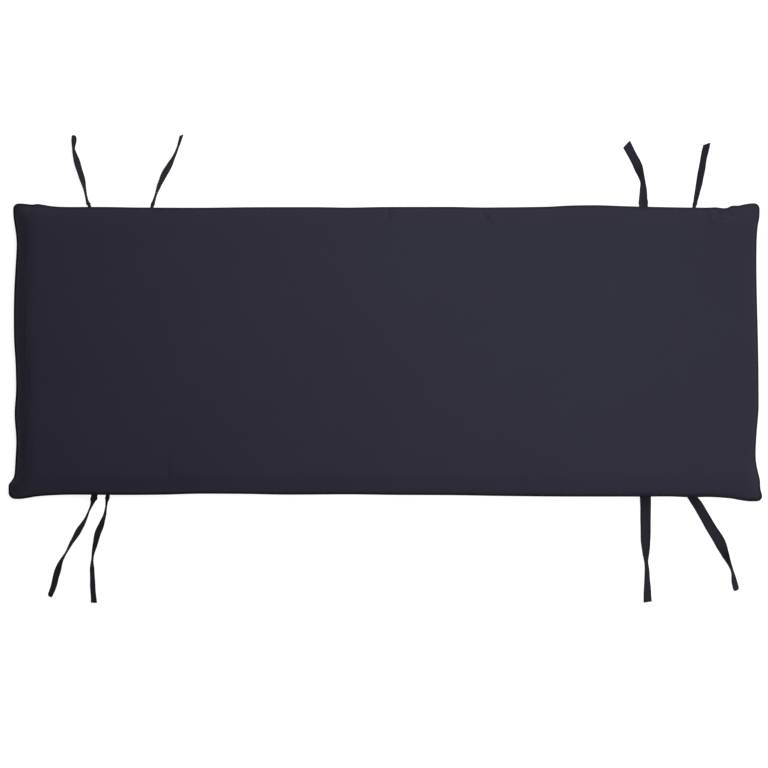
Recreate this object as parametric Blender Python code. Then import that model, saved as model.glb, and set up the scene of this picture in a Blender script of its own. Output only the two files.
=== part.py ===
"""A padded bench cushion with four pairs of tie tapes.

Two cloth panels are sewn edge to edge over a flat slab of filling, so the sides bulge to a sewn
ridge at about half the height and the corners draw out into small ears. The tapes are caught under
that ridge on the two long sides and lie on the surface that the cushion rests on.
Units are metres. +X runs along the cushion, +Y across it and +Z up. The origin is at the centre of
the cushion's underside.
"""

import math
from collections import namedtuple

import bmesh
import bpy
from mathutils import Vector

MM = 0.001

# The cushion
LENGTH = 1.160  # between the seams of the two short sides
WIDTH = 0.449  # between the seams of the two long sides
THICKNESS = 0.050  # at the shoulder, where the upper panel turns level
CROWN = 0.004  # how far the middle of the upper panel stands above its shoulder
SHOULDER = 0.032  # how far the upper panel takes to turn level
TUCK = 0.026  # how far the lower panel takes to reach the surface
CORNER_RADIUS = 0.0090  # of the ears, seen from above

# The sewn ridge round the cushion
SEAM_HEIGHT = 0.021
SEAM_WANDER = 0.0009  # how far the ridge rises and dips along the sides
EAR_DROOP = 0.002  # how far the ridge sinks at the corners
EAR_REACH = 0.060
RIDGE_TIP = 0.0008  # half the ridge's thickness at its outer line
RIDGE_HALF = 0.0015  # half its thickness behind that line
RIDGE_NECK = 0.0010  # half its thickness in the groove where it meets the panels
RIDGE_ROUND = 0.0011  # how far in from the outer line the ridge has its full thickness
RIDGE_BACK = 0.0026  # how far in the ridge keeps it
RIDGE_REACH = 0.0036  # how far in the groove lies

# The grid of points on each panel: the lines near the edges, and the spacing between the rest
EDGE_LINES = (0, 1.1, 2.6, 3.6, 4.3, 5.8, 8.2, 12, 17, 24, 33, 45, 62, 86)  # millimetres in
GRID_SPACING = 0.030

# The tapes
TAPE_WIDTH = 0.016
TAPE_THICKNESS = 0.0016
PLEAT_POWER = 0.75  # how much thicker a tape gets where it is gathered narrower
TAPE_DROP = 0.056  # how far along it a tape comes down from the ridge to the surface
TAPE_SECTIONS = 26
SEWN_GAP = 0.00045  # between a tape and the ridge it is caught under
FLOOR_GAP = 0.0002  # between a lying tape and the surface
ROUND_END = 0.005  # how far back a rounded end starts to narrow

# How far the seam stands out from a straight side, in millimetres. "at" runs along the side.
EdgeRow = namedtuple("EdgeRow", "at out")

BACK_SIDE = (
    EdgeRow(-588, 8.3),
    EdgeRow(-570, 8.3),
    EdgeRow(-558, 7.4),
    EdgeRow(-549, 6.4),
    EdgeRow(-540, 8.1),
    EdgeRow(-525, 4.4),
    EdgeRow(-500, 2.6),
    EdgeRow(-440, 2.8),
    EdgeRow(-390, 2.0),
    EdgeRow(-290, 1.6),
    EdgeRow(-210, 2.4),
    EdgeRow(-110, 2.5),
    EdgeRow(-60, 1.8),
    EdgeRow(0, 2.8),
    EdgeRow(100, 2.9),
    EdgeRow(147, 2.0),
    EdgeRow(185, 2.2),
    EdgeRow(245, 3.0),
    EdgeRow(267, 3.9),
    EdgeRow(285, 5.1),
    EdgeRow(325, 5.6),
    EdgeRow(365, 4.2),
    EdgeRow(396, 3.3),
    EdgeRow(435, 2.5),
    EdgeRow(495, 1.7),
    EdgeRow(511, 2.2),
    EdgeRow(524, 0.7),
    EdgeRow(529, 1.0),
    EdgeRow(536.5, 5.0),
    EdgeRow(546.5, 4.6),
    EdgeRow(554, 6.5),
    EdgeRow(570, 8.6),
    EdgeRow(588, 8.4),
)
FRONT_SIDE = (
    EdgeRow(-588, 4.2),
    EdgeRow(-565, 4.2),
    EdgeRow(-549, 2.1),
    EdgeRow(-538, 0.1),
    EdgeRow(-515, -1.7),
    EdgeRow(-485, -2.6),
    EdgeRow(-400, -2.1),
    EdgeRow(-345, -2.5),
    EdgeRow(-285, -4.1),
    EdgeRow(-220, -3.8),
    EdgeRow(-150, -2.6),
    EdgeRow(-60, -3.1),
    EdgeRow(20, -2.1),
    EdgeRow(100, -1.8),
    EdgeRow(170, -0.7),
    EdgeRow(290, 0.4),
    EdgeRow(400, 0.5),
    EdgeRow(440, 0.2),
    EdgeRow(470, 1.7),
    EdgeRow(495, 1.0),
    EdgeRow(530, 3.1),
    EdgeRow(549, 6.5),
    EdgeRow(562, 7.9),
    EdgeRow(588, 7.9),
)
LEFT_SIDE = (
    EdgeRow(-232, 3.5),
    EdgeRow(-224, 7.2),
    EdgeRow(-214, 8.5),
    EdgeRow(-204, 8.5),
    EdgeRow(-196, 3.3),
    EdgeRow(-190, -0.7),
    EdgeRow(-160, -2.8),
    EdgeRow(-137, -4.1),
    EdgeRow(-124, -3.6),
    EdgeRow(-103, -1.1),
    EdgeRow(-92, -1.1),
    EdgeRow(-60, -3.7),
    EdgeRow(-20, -2.8),
    EdgeRow(20, -0.2),
    EdgeRow(50, 0.1),
    EdgeRow(85, -0.4),
    EdgeRow(125, -2.5),
    EdgeRow(166, -4.7),
    EdgeRow(188, -1.7),
    EdgeRow(206, 0.9),
    EdgeRow(232, 1.9),
)
RIGHT_SIDE = (
    EdgeRow(-232, 7.6),
    EdgeRow(-219, 8.3),
    EdgeRow(-204, 5.0),
    EdgeRow(-192, 4.3),
    EdgeRow(-176, -0.1),
    EdgeRow(-160, -2.9),
    EdgeRow(-140, -2.2),
    EdgeRow(-112, -0.3),
    EdgeRow(-85, 2.3),
    EdgeRow(-20, 2.0),
    EdgeRow(20, 1.3),
    EdgeRow(60, 0.3),
    EdgeRow(100, -0.7),
    EdgeRow(130, -1.1),
    EdgeRow(166, -0.9),
    EdgeRow(188, 0.7),
    EdgeRow(206, 3.8),
    EdgeRow(232, 4.4),
)

# A tape's route seen from above, its width and how far it is rolled over: 0 lies flat, 90 stands
# on its edge. Millimetres and degrees. The first two rows are the end that is sewn in.
TieRow = namedtuple("TieRow", "x y wide roll")

TIES = {
    "tie_back_left_outer": (
        TieRow(-461.3, 225.3, 5, 0),
        TieRow(-462.8, 229.3, 5, 0),
        TieRow(-465.3, 235.3, 11, -77),
        TieRow(-468.1, 245.0, 15, -87),
        TieRow(-471.0, 257.0, 16, -81),
        TieRow(-477.0, 277.0, 16, -63),
        TieRow(-483.1, 297.0, 16, -61),
        TieRow(-487.3, 313.0, 16, -75),
        TieRow(-488.6, 320.5, 16, -85),
        TieRow(-488.2, 331.0, 16, -72),
        TieRow(-487.4, 340.4, 15, -66),
    ),
    "tie_back_left_inner": (
        TieRow(-365.4, 223.9, 5, 0),
        TieRow(-364.6, 228.1, 5, 0),
        TieRow(-362.4, 235.3, 10, -79),
        TieRow(-359.4, 246.0, 16, -88),
        TieRow(-354.5, 263.0, 16, -76),
        TieRow(-347.1, 279.0, 16, -63),
        TieRow(-338.3, 294.0, 16, -67),
        TieRow(-330.1, 309.0, 16, -86),
        TieRow(-325.5, 321.0, 16, -89),
        TieRow(-321.9, 331.0, 16, -84),
        TieRow(-319.3, 340.6, 16, -84),
    ),
    "tie_back_right_inner": (
        TieRow(402.9, 225.5, 13.5, 0),
        TieRow(402.8, 229.7, 14, 0),
        TieRow(402.6, 239.0, 16, 40),
        TieRow(403.4, 254.0, 16, 54),
        TieRow(403.0, 268.0, 16, 70),
        TieRow(400.2, 279.0, 16, 58),
        TieRow(396.2, 291.0, 16, 37),
        TieRow(386.5, 310.0, 16, 40),
        TieRow(377.8, 327.0, 16, 34),
    ),
    "tie_back_right_outer": (
        TieRow(481.4, 224.0, 5.5, 0),
        TieRow(482.3, 228.1, 5.5, 0),
        TieRow(484.2, 235.5, 11, 69),
        TieRow(487.6, 249.0, 16, 69),
        TieRow(491.8, 268.0, 16, 59),
        TieRow(495.2, 287.0, 16, 58),
        TieRow(498.2, 304.0, 16, 60),
        TieRow(501.3, 318.0, 16, 57),
        TieRow(503.6, 327.0, 16, 60),
    ),
    "tie_front_left_outer": (
        TieRow(-454.3, -220.0, 10, 0),
        TieRow(-454.8, -224.1, 10, 0),
        TieRow(-456.9, -233.0, 14, 71),
        TieRow(-464.3, -248.5, 7.5, 96),
        TieRow(-467.7, -256.0, 9, 107),
        TieRow(-473.4, -268.0, 16, 119),
        TieRow(-481.5, -280.5, 16, 127),
        TieRow(-491.6, -297.0, 16, 115),
        TieRow(-500.7, -313.0, 16, 104),
        TieRow(-507.9, -326.0, 16, 115),
        TieRow(-514.8, -344.0, 16, 136),
        TieRow(-519.5, -364.0, 16, 131),
        TieRow(-525.9, -382.6, 16, 127),
    ),
    "tie_front_left_inner": (
        TieRow(-433.6, -219.8, 6.5, 0),
        TieRow(-433.9, -223.9, 6.5, 0),
        TieRow(-435.6, -232.0, 11, -66),
        TieRow(-437.1, -242.0, 15, -75),
        TieRow(-439.2, -253.0, 16, -69),
        TieRow(-445.0, -268.4, 16, -53),
        TieRow(-451.4, -285.0, 16, -46),
        TieRow(-455.1, -302.0, 16, -58),
        TieRow(-459.1, -323.0, 16, -72),
        TieRow(-459.5, -341.0, 16, -56),
        TieRow(-459.1, -366.0, 16, -52),
        TieRow(-457.3, -392.0, 16, -48),
    ),
    "tie_front_right_inner": (
        TieRow(405.8, -222.5, 17.5, 0),
        TieRow(406.0, -226.8, 17.5, 0),
        TieRow(407.1, -246.0, 17, 2),
        TieRow(408.2, -275.0, 17, 10),
        TieRow(407.9, -297.0, 17, 20),
        TieRow(407.9, -313.0, 17, 43),
        TieRow(408.8, -330.0, 17, 62),
        TieRow(410.1, -345.0, 17, 57),
        TieRow(410.6, -366.0, 17, 45),
        TieRow(411.2, -390.9, 17, 33),
    ),
    "tie_front_right_outer": (
        TieRow(477.6, -223.2, 14, 0),
        TieRow(480.2, -227.2, 14, 0),
        TieRow(489.5, -240.0, 16.6, 16),
        TieRow(501.1, -258.5, 16.8, 14),
        TieRow(512.8, -277.8, 17, 8),
        TieRow(524.8, -297.0, 17.8, 4),
        TieRow(532.4, -315.0, 17, 36),
        TieRow(539.4, -330.5, 16.5, 61),
        TieRow(543.2, -341.5, 16.5, 68),
        TieRow(547.2, -361.0, 16.5, 48),
        TieRow(549.9, -372.8, 16.5, 46),
    ),
}
ROUND_ENDED = ("tie_back_left_outer", "tie_front_left_outer", "tie_front_right_outer")

# How much longer a tape's right edge is at its free end, as a share of the tape's width
END_CUT = {"tie_back_left_inner": 0.3, "tie_back_right_inner": 0.28, "tie_back_right_outer": 0.3}

# Colours are linear, as the cloth shows them in plain light
COVER_COLOUR = (0.031, 0.030, 0.045)
TAPE_COLOUR = (0.026, 0.024, 0.037)
CLOTH_ROUGHNESS = 0.85


def clear_scene():
    for thing in list(bpy.data.objects):
        bpy.data.objects.remove(thing)


def cloth(name, colour):
    """A plain matt cloth."""
    material = bpy.data.materials.new(name)
    material.use_nodes = True
    surface = material.node_tree.nodes["Principled BSDF"]
    surface.inputs["Base Color"].default_value = (*colour, 1)
    surface.inputs["Roughness"].default_value = CLOTH_ROUGHNESS
    surface.inputs["Metallic"].default_value = 0
    material.diffuse_color = (*colour, 1)
    return material


def slopes(places, values, steady):
    """The slope at each place of a smooth curve through values. A steady curve never overshoots."""
    steps = [b - a for a, b in zip(places, places[1:])]
    rises = [(b - a) / d for a, b, d in zip(values, values[1:], steps)]
    found = [rises[0]]
    for i in range(1, len(rises)):
        before, after = rises[i - 1], rises[i]
        if not steady:
            found.append((before * steps[i] + after * steps[i - 1]) / (steps[i - 1] + steps[i]))
        elif before * after <= 0:
            found.append(0)
        else:
            found.append(2 * before * after / (before + after))
    return found + [rises[-1]]


def smooth(places, values, steady=True):
    """A function that gives the smooth curve through values at places, level beyond both ends."""
    slope = slopes(places, values, steady)

    def at(place):
        place = min(max(place, places[0]), places[-1])
        i = 0
        while i < len(places) - 2 and place > places[i + 1]:
            i += 1
        step = places[i + 1] - places[i]
        t = (place - places[i]) / step
        first = (1 + 2 * t) * (1 - t) ** 2 * values[i] + t * (1 - t) ** 2 * step * slope[i]
        last = t * t * (3 - 2 * t) * values[i + 1] - t * t * (1 - t) * step * slope[i + 1]
        return first + last

    return at


def side_curve(rows):
    """How far a side's seam stands out, in metres, at a place along it in metres."""
    return smooth([row.at * MM for row in rows], [row.out * MM for row in rows])


BACK_OUT = side_curve(BACK_SIDE)
FRONT_OUT = side_curve(FRONT_SIDE)
LEFT_OUT = side_curve(LEFT_SIDE)
RIGHT_OUT = side_curve(RIGHT_SIDE)
RIDGE_PROFILE = smooth(
    [0, RIDGE_ROUND, RIDGE_BACK, RIDGE_REACH], [RIDGE_TIP, RIDGE_HALF, RIDGE_HALF, RIDGE_NECK]
)


def grid_lines(size):
    """The places of the grid's lines along one direction, as distances from one edge."""
    edge = [line * MM for line in EDGE_LINES]
    inner = size - 2 * edge[-1]
    count = round(inner / GRID_SPACING)
    middle = [edge[-1] + inner * i / count for i in range(1, count)]
    return edge + middle + [size - line for line in reversed(edge)]


def swell(inset, reach):
    """0 up to the groove behind the ridge, then steeply up and round to 1."""
    t = min(max((inset - RIDGE_REACH) / reach, 0), 1)
    return math.sqrt(1 - (1 - t) ** 2)


def rounded(inset_x, inset_y):
    """The two insets moved so that the corner of the outline is an arc."""
    a = max(0, 1 - inset_x / CORNER_RADIUS)
    b = max(0, 1 - inset_y / CORNER_RADIUS)
    if a == 0 or b == 0:
        return inset_x, inset_y
    return (
        CORNER_RADIUS * (1 - a * math.sqrt(1 - b * b / 2)),
        CORNER_RADIUS * (1 - b * math.sqrt(1 - a * a / 2)),
    )


def seam_height(x, y):
    """The height of the ridge's middle, at a place near it."""
    wave = math.sin(x * 17 + 0.6) * math.cos(y * 13 - 0.8)
    along = max(0, 1 - (LENGTH / 2 - abs(x)) / EAR_REACH)
    across = max(0, 1 - (WIDTH / 2 - abs(y)) / EAR_REACH)
    return SEAM_HEIGHT + SEAM_WANDER * wave - EAR_DROOP * min(along, 1) * min(across, 1)


def cushion_point(from_left, from_front, upper):
    """A point on a panel, from its distances to the straight left and front sides."""
    inset_x = min(from_left, LENGTH - from_left)
    inset_y = min(from_front, WIDTH - from_front)
    near_x, near_y = rounded(inset_x, inset_y)
    x = math.copysign(LENGTH / 2 - near_x, from_left - LENGTH / 2)
    y = math.copysign(WIDTH / 2 - near_y, from_front - WIDTH / 2)
    seam = seam_height(x, y)
    ridge = RIDGE_PROFILE(min(inset_x, inset_y))
    if upper:
        rise = swell(inset_x, SHOULDER) * swell(inset_y, SHOULDER)
        crown = (1 - (2 * x / LENGTH) ** 4) * (1 - (2 * y / WIDTH) ** 2)
        z = seam + ridge + (THICKNESS - seam - ridge) * rise + CROWN * rise * crown
    else:
        z = (seam - ridge) * (1 - swell(inset_x, TUCK) * swell(inset_y, TUCK))
    share_x, share_y = x / LENGTH + 0.5, y / WIDTH + 0.5
    moved_x = x + RIGHT_OUT(y) * share_x - LEFT_OUT(y) * (1 - share_x)
    moved_y = y + BACK_OUT(x) * share_y - FRONT_OUT(x) * (1 - share_y)
    return Vector((moved_x, moved_y, z))


def grid_faces(mesh, points, upper):
    """Joins a grid of points with four-cornered faces that look away from the filling."""
    for i in range(len(points) - 1):
        for j in range(len(points[0]) - 1):
            corners = [points[i][j], points[i + 1][j], points[i + 1][j + 1], points[i][j + 1]]
            mesh.faces.new(corners if upper else corners[::-1])


def rim(points):
    """The points round the edge of a grid, anticlockwise seen from above."""
    front = [column[0] for column in points]
    right = points[-1][1:]
    back = [column[-1] for column in reversed(points)][1:]
    left = points[0][::-1][1:-1]
    return front + right + back + left


def finish(name, mesh, material):
    """Makes the object from a bmesh."""
    data = bpy.data.meshes.new(name)
    bmesh.ops.recalc_face_normals(mesh, faces=mesh.faces)
    mesh.to_mesh(data)
    mesh.free()
    data.materials.append(material)
    data.shade_smooth()
    thing = bpy.data.objects.new(name, data)
    bpy.context.scene.collection.objects.link(thing)
    return thing


def make_cushion(material):
    """The filled cushion: an upper and a lower panel joined round the ridge."""
    mesh = bmesh.new()
    columns, rows = grid_lines(LENGTH), grid_lines(WIDTH)
    panels = []
    for upper in (True, False):
        points = [[mesh.verts.new(cushion_point(a, b, upper)) for b in rows] for a in columns]
        grid_faces(mesh, points, upper)
        panels.append(rim(points))
    top, bottom = panels
    for i in range(len(top)):
        after = (i + 1) % len(top)
        mesh.faces.new([bottom[i], bottom[after], top[after], top[i]])
    return finish("cushion", mesh, material)


def pleated(wide):
    """A tape's thickness where it is gathered to this width."""
    return TAPE_THICKNESS * (TAPE_WIDTH / wide) ** PLEAT_POWER


class Tape:
    """The centre line, width and roll of one tape, by the distance along it."""

    def __init__(self, rows):
        flat = [Vector((row.x, row.y)) * MM for row in rows]
        places = [0]
        for a, b in zip(flat, flat[1:]):
            places.append(places[-1] + (b - a).length)
        self.length = places[-1]
        self.x = smooth(places, [p.x for p in flat], steady=False)
        self.y = smooth(places, [p.y for p in flat], steady=False)
        self.wide = smooth(places, [row.wide * MM for row in rows])
        self.roll = smooth(places, [math.radians(row.roll) for row in rows])
        under_ridge = seam_height(flat[0].x, flat[0].y) - RIDGE_HALF - SEWN_GAP
        self.root_height = under_ridge - pleated(self.wide(0)) / 2

    def lying(self, place):
        """The height of the centre line where the tape lies on the surface."""
        wide, roll = self.wide(place), self.roll(place)
        edge = wide / 2 * abs(math.sin(roll)) + pleated(wide) / 2 * abs(math.cos(roll))
        return edge + FLOOR_GAP

    def centre(self, place):
        down = min(place / TAPE_DROP, 1)
        landed = down * down * (3 - 2 * down)
        height = self.root_height * (1 - landed) + self.lying(place) * landed
        return Vector((self.x(place), self.y(place), height))

    def directions(self, place):
        """Along the tape, across its width and through its thickness."""
        step = 0.5 * MM
        before, after = max(0, place - step), min(self.length, place + step)
        along = (self.centre(after) - self.centre(before)).normalized()
        level = along.cross(Vector((0, 0, 1))).normalized()
        up = level.cross(along)
        roll = self.roll(place)
        across = level * math.cos(roll) + up * math.sin(roll)
        return along, across, along.cross(across)


def tape_outline(wide, thick):
    """The corners of the tape's cross section, with its edges eased."""
    half, ease = wide / 2, thick / 4
    quarter = ((half, ease), (half - ease, thick / 2))
    right = [(x, -y) for x, y in reversed(quarter)] + list(quarter)
    return right + [(-x, -y) for x, y in right]


def make_tie(name, rows, material):
    """A flat tape from the seam, where its end is cut parallel to the side, to its free end."""
    tape = Tape(rows)
    narrowing = ROUND_END if name in ROUND_ENDED else 0
    run = tape.length - narrowing
    places = [run * i / (TAPE_SECTIONS - 1) for i in range(TAPE_SECTIONS)]
    if narrowing:
        places += [run + narrowing * share for share in (0.5, 0.85, 1)]
    mesh = bmesh.new()
    rings = []
    for place in places:
        along, across, through = tape.directions(place)
        wide = tape.wide(place)
        thick = pleated(wide)
        if narrowing and place > run:
            wide *= math.sqrt(1 - 0.75 * ((place - run) / narrowing) ** 2)
        shift = -across.y / along.y * max(0, 1 - place / TAPE_WIDTH)
        shift += END_CUT.get(name, 0) * max(0, 1 - (tape.length - place) / TAPE_WIDTH)
        centre = tape.centre(place)
        ring = []
        for side, face in tape_outline(wide, thick):
            ring.append(mesh.verts.new(centre + across * side + through * face + along * side * shift))
        rings.append(ring)
    for a, b in zip(rings, rings[1:]):
        for k in range(len(a)):
            mesh.faces.new([a[k], a[k - 1], b[k - 1], b[k]])
    mesh.faces.new(rings[0])
    mesh.faces.new(reversed(rings[-1]))
    return finish(name, mesh, material)


def main():
    clear_scene()
    make_cushion(cloth("cover_cloth", COVER_COLOUR))
    tape_cloth = cloth("tape_cloth", TAPE_COLOUR)
    for name, rows in TIES.items():
        make_tie(name, rows, tape_cloth)


main()
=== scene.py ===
"""A dark bench cushion with tie tapes, seen from above on a white floor.

The camera comes first, then the tapes with their stitching, then the filled cushion, whose cover is
settled over its filling by a cloth simulation. Sizes are metres and angles radians unless a name or
comment says otherwise. +X runs along the cushion, +Y across it and +Z up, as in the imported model.
"""

import math

import bpy
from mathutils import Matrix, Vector


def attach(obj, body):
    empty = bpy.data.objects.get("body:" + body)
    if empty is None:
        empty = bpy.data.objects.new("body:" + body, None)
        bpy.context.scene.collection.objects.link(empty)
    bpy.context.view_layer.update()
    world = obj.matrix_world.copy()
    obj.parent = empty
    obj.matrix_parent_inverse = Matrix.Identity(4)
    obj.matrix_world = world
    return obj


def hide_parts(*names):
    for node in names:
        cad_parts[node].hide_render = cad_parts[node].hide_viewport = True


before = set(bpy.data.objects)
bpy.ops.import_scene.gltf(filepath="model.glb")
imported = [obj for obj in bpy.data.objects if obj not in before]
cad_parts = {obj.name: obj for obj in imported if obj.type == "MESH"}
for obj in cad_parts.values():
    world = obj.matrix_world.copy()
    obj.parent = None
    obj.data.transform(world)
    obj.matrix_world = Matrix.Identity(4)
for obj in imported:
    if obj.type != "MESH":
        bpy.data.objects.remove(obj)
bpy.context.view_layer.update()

BODY = "root"
MM = 0.001
ROUNDING = 1e-6  # more than rounding can add to a distance

# The camera, which looks straight down
CAMERA_ABOVE = Vector((-0.00234, -0.0491, 3.021))
SEEN_HEIGHT = 0.021  # of the seam
PIXEL = 0.00156  # how wide one pixel of the picture is at that height
PICTURE_PIXELS = 768
SENSOR = 36.0  # millimetres

# The cushion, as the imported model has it
LENGTH = 1.160  # between the seams of the two short sides
WIDTH = 0.449
THICKNESS = 0.050  # at the shoulder, where the upper panel turns level
CROWN = 0.004  # how far the middle of the upper panel stands above its shoulder
CROWN_POWERS = (4, 2)  # how long the crown stays level along and across the cushion
SHOULDER = 0.032  # how far the upper panel takes to turn level
TUCK = 0.026  # how far the lower panel takes to reach the floor
CORNER_RADIUS = 0.0090
SEAM_HEIGHT = 0.021
SEAM_WANDER = 0.0009  # how far the ridge rises and dips
EAR_DROOP = 0.002  # how far it sinks at the corners
EAR_REACH = 0.060
RIDGE_TIP = 0.0008  # half its thickness at the outer line, and so on inward
RIDGE_HALF = 0.0015
RIDGE_NECK = 0.0010
RIDGE_SLOPE = 0.0006  # how far its upper face falls away outward
RIDGE_ROUND = 0.0011
RIDGE_BACK = 0.0026
RIDGE_REACH = 0.0036
ABOVE_RIDGE = 0.0246  # any point of the cover that is higher lies on the upper panel

# The grid of the cover: the lines near the edges in millimetres, and the spacing between the rest
EDGE_LINES = (
    0, 0.5, 1.1, 1.8, 2.6, 3.2, 3.7, 4.4, 5.8, 8.0, 10.2,
    12.4, 14.6, 16.8, 19.0, 21.2, 23.6, 26.2, 29.2, 33.4, 40.0,
)
GROOVE_LINE = 6  # which of them lies in the groove behind the ridge
GRID_SPACING = 0.0140
CREASE_SPACING = 0.0026  # between the lines that cross a steep crease
CREASE_MARGIN = 0.0045  # how far beyond a crease they go on
FLAT_CREASE = 0.7  # a crease with more than this cosine runs along the cushion
FLAT_CREASE_SPACING = 0.0040  # between the lines that cross such creases
CREASE_REACH = 3  # how many half widths from its middle a crease still counts

# The cover settles over the filling. Distances run inward from the seam.
SETTLE_FRAMES = 20
EASE = 0.022  # how much longer the cover is cut than what it covers, close to the seam
EASE_REACH = 0.045
GATHERS = 0.3  # how unevenly that ease is spread
HELD_BY_FILLING = 0.06  # how firmly the foam holds the cover on the face
NEAR_SEAM = 0.008  # nearer the seam the upper panel is free and smooth, and the lower one is held
LOWER_FREE = 0.014  # from here the foam alone holds the lower panel
RESTING = 0.8  # from this share of its tuck the floor holds it too
MOST_MOVED = 0.0024  # how far any point of the cover may settle
CLOTH_SETTINGS = {
    "quality": 5, "mass": 0.2, "tension_stiffness": 20, "compression_stiffness": 20,
    "shear_stiffness": 10, "bending_stiffness": 0.3, "air_damping": 2,
    "use_pressure": True, "uniform_pressure_force": 4.0,
    "vertex_group_mass": "held", "pin_stiffness": 1,
    "vertex_group_shrink": "full", "shrink_min": 0, "shrink_max": -EASE,
}

# The tapes. Places run along a tape from its sewn end, and shares are of half its width.
TAPE_WIDTH = 0.016
TAPE_THICKNESS = 0.0016
PLEAT_POWER = 0.75  # how much thicker a tape gets where it is gathered narrower
EDGE_POWER = 12  # how squarely its edges are rounded
TAPE_DROP = 0.056  # how far along it a tape comes down from the ridge to the floor
SEWN_GAP = 0.00045  # between a tape and the ridge that it is caught under
FLOOR_GAP = 0.0002  # between a lying tape and the floor
DIRECTION_STEP = 0.0005  # how far to both sides of a place its direction is read
ROUND_END = 0.005  # how far back a rounded end starts to narrow
ROUND_END_TAPER = 0.75  # at 1 it would come to a point
ROUND_END_SHARES = (0.3, 0.55, 0.75, 0.9, 1.0)  # where its cross sections lie
TAPE_STEP = 0.0015  # between cross sections
TAPE_ACROSS = (1.0, 0.97, 0.90, 0.82, 0.76, 0.70, 0.58, 0.40, 0.20, 0.0)  # half a cross section
STITCH_ROW = 0.76  # the share where the edge stitching runs
STITCH_DENT = 0.00014  # how far it pulls the tape in
DENT_REACH = 0.06
LOOSE = (0.010, 0.040)  # the places between which curl and ripple set in
TAPE_CURL = 0.0007  # how far the edges curl up
CURL_LEVEL = 0.35  # the square of the share that stays level
CURL_TURNS = 47  # radians for each metre, and so on
TAPE_RIPPLE = 0.0002  # how far the cloth rises and dips in short waves
RIPPLE_TURNS = 210
RIPPLE_LEAN = 0.8  # how far ahead the right edge is in such a wave
FIRST_STITCH = 0.006  # from the sewn end
LAST_STITCH = 0.0015  # from the free end
END_HEM = 0.0065  # length of the folded end
HEM_SWELL = 1.3  # how many times thicker the tape is there
HEM_STEP = 0.0012  # how far it takes to get thicker
HEM_STITCHES = 0.0016  # how far into the folded end it is stitched across
HEM_ACROSS = (0.9, 0.6, 0.3, 0, -0.3, -0.6, -0.9)  # points of that line, as shares of STITCH_ROW

# Thread
STITCH_PITCH = 0.0030
STITCH_LENGTH = 0.0024
STITCH_SIDES = 6
STITCH_RINGS = 5
STITCH_SIZES = (0.9, 1.08)  # the smallest and the largest, as shares of the usual one
STITCH_SEED = 7
THREAD_WIDTH = 0.00038
THREAD_LIFT = 0.2 * THREAD_WIDTH  # how far the middle of the thread stands above the cloth
THREAD_COLOUR = (0.0160, 0.0148, 0.0232)
THREAD_SHADES = (0.8, 1.25)
THREAD_ROUGHNESS = (0.55, 0.75)
FIBRE_SCALE = 3500.0
FIBRE_DEPTH = 0.2 * THREAD_WIDTH

# Painted light and shade on the cover near its edges. Distances run inward from the seam.
RIDGE_PAINTED_HIGHLIGHT = 0.05  # painted highlight on the ridge, on the sides that face the light
GROOVE_PAINTED_SHADE = 0.12  # painted shade in the groove behind it
GROOVE_SPREAD = 0.0014
RIM_PAINTED_SHADE = 0.38  # painted shade at the seam's outer line
EAR_RIM_PAINTED_SHADE = 0.42  # more painted shade there at the ears
RIM_REACH = 0.0020
EAR_RIM_REACH = 0.045
FAR_SIDES = (0.015, 0.060)  # where the sides away from the light turn into the face
FAR_RIDGE_PAINTED_SHADE = 0.28  # painted shade on the whole ridge at those sides
FAR_RIDGE_END = (0.0050, 0.0075)
BEHIND_PAINTED_LIGHT = 0.05  # painted light in a band behind the ridge
FAR_BEHIND_PAINTED_LIGHT = 0.07  # more painted light there at those sides
BEHIND_START = (0.0050, 0.0080)
BEHIND_END = (0.012, 0.028)

# How much painted shade a tape has
BORDER_PAINTED_SHADE = 0.28  # painted shade outside its stitching
BORDER_START = (0.60, 0.84)  # the shares between which that sets in
BACK_ROOT_PAINTED_SHADE = 0.08  # painted shade where a tape on the back side comes out of the seam
FRONT_ROOT_PAINTED_SHADE = 0.45  # the same on the front side, where the roots lie in the cushion's shadow
ROOT_REACH = 0.035  # how far along a tape that goes
STANDING_PAINTED_SHADE = 0.30  # painted shade where it stands on its edge
STANDING_POWER = 8  # how soon that goes as it leans over
FOLD_LEAN = 0.25  # how much more of a fold's painted shade lies at the tape's left edge than in its middle
TAPE_STREAKS = 0.30  # how much a tape's shade changes in streaks along it
STREAK_SCALES = (230, 12, 1)  # across and along the tape

# Cloth. Scales are for each metre, and a pair gives the least and the most.
PAINTED_SHADE_NAME = "shade"  # of the meshes' attribute that holds their painted light and shade
CLOTH_MAP = "cloth"  # a mesh's places on its flat cloth
COVER_COLOUR = (0.0196, 0.0188, 0.0300)
TAPE_COLOUR = (0.0173, 0.0147, 0.0224)
WEAVE_PITCH = 0.00055  # from one thread to the next
WEAVE_DEPTH = 0.00010
WEAVE_BUMP = 0.7
THREAD_UNDER = 0.35  # how high a thread still stands where it passes under
THREAD_SLIMNESS = 0.6  # at 0 it would be square
SLUB_SCALES = ((900, 25, 1), (25, 900, 1))  # of the threads' own thick and thin places
SLUB_BUMP = 0.3
MOTTLE_SCALE = 9.0
FUZZ_SCALE = 140.0
WEAVE_SHADES = (0.90, 1.05)
SLUB_SHADES = (0.90, 1.10)
MOTTLE_SHADES = (0.95, 1.05)
FUZZ_SHADES = (0.97, 1.03)
WEAVE_ROUGHNESS = (0.91, 0.83)  # between the threads and on them
FUZZ_ROUGHNESS = (-0.02, 0.02)
CLOTH_SPECULAR = 0.04
SHEEN_WEIGHT = 0.005
SHEEN_ROUGHNESS = 0.5
SHEEN_TINT = (0.62, 0.60, 0.80, 1)

# The room
FLOOR_SIZE = 14.0
FLOOR_BELOW = 0.0004
FLOOR_COLOUR = (0.30, 0.30, 0.30)
FLOOR_ROUGHNESS = 0.9
FLOOR_SPECULAR = 0.1
FLOOR_GLOW = 0.86
ROOM_LIGHT = 0.29
WHITE = (1, 1, 1, 1)

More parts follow.
